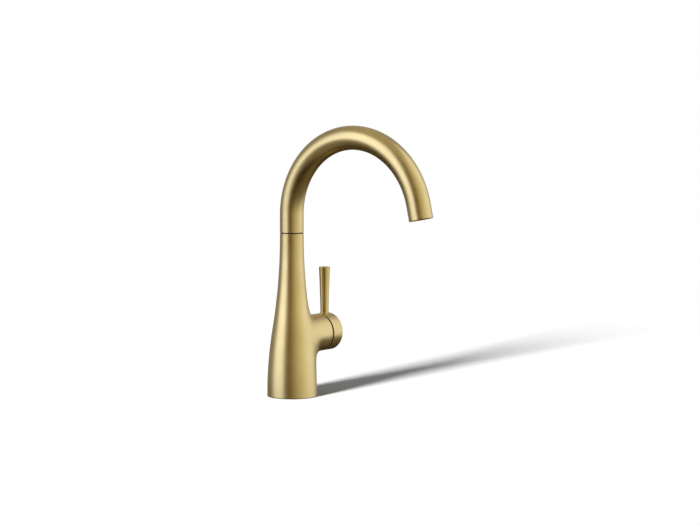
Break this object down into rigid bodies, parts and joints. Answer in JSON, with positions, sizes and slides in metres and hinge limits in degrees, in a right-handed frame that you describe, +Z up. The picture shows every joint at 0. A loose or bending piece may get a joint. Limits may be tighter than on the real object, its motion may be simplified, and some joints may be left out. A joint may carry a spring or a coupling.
{
  "type": "beverage faucet",
  "caption": "Deck-mounted beverage faucet: bell-shaped body, swivelling gooseneck spout with an aerator, side branch with a quarter-turn lever, and a threaded shank with a lock nut.",
  "frame": {"origin": "centre of the foot, on the worktop plane", "axes": "+Z up along the body and the spout's swivel axis; the spout points along -Y at rest; the valve branch and handle point along +X"},
  "size_m": [0.0788, 0.184, 0.3223],
  "materials": {
    "satin_gold": "fine brushed, satin",
    "bare_brass": "machined",
    "black_acetal": "matt",
    "white_acetal": "matt",
    "black_rubber": "matt",
    "white_ceramic": "lapped",
    "stainless": "plain"
  },
  "bodies": {
    "faucet_body": {"body": "satin_gold", "spout_glide_ring": "black_acetal", "cartridge_seat_seal": "black_rubber", "fixed_disc": "white_ceramic", "cartridge_body": "white_acetal", "cartridge_nut": "bare_brass", "hub_glide_ring": "black_acetal", "deck_gasket": "black_rubber", "mounting_shank": "bare_brass", "shank_seal": "black_rubber"},
    "spout": {"spout_tube": "satin_gold", "spout_spigot": "bare_brass", "spout_o_rings": "black_rubber", "spout_snap_ring": "stainless", "outlet_insert": "bare_brass", "aerator_housing": "black_acetal", "aerator_grid": "white_acetal", "aerator_screen": "stainless", "aerator_seal": "black_rubber"},
    "handle": {"handle_hub": "satin_gold", "handle_lever": "satin_gold", "lever_stud": "stainless", "handle_set_screw": "stainless", "valve_stem": "bare_brass", "stem_o_ring": "black_rubber", "moving_disc": "white_ceramic"},
    "deck_clamp": {"rubber_washer": "black_rubber", "steel_washer": "stainless", "lock_nut": "bare_brass"}
  },
  "joints": [
    {"name": "spout_swivel", "type": "hinge", "parent": "faucet_body", "child": "spout", "pos_m": [0, 0, 0.1545], "axis": [0, 0, 1], "continuous": true},
    {"name": "handle_turn", "type": "hinge", "parent": "faucet_body", "child": "handle", "pos_m": [0.048, 0, 0.0564], "axis": [1, 0, 0], "range_deg": [0, 90]},
    {"name": "clamp_travel", "type": "slide", "parent": "faucet_body", "child": "deck_clamp", "axis": [0, 0, 1], "range_m": [-0.009, 0.027]}
  ]
}
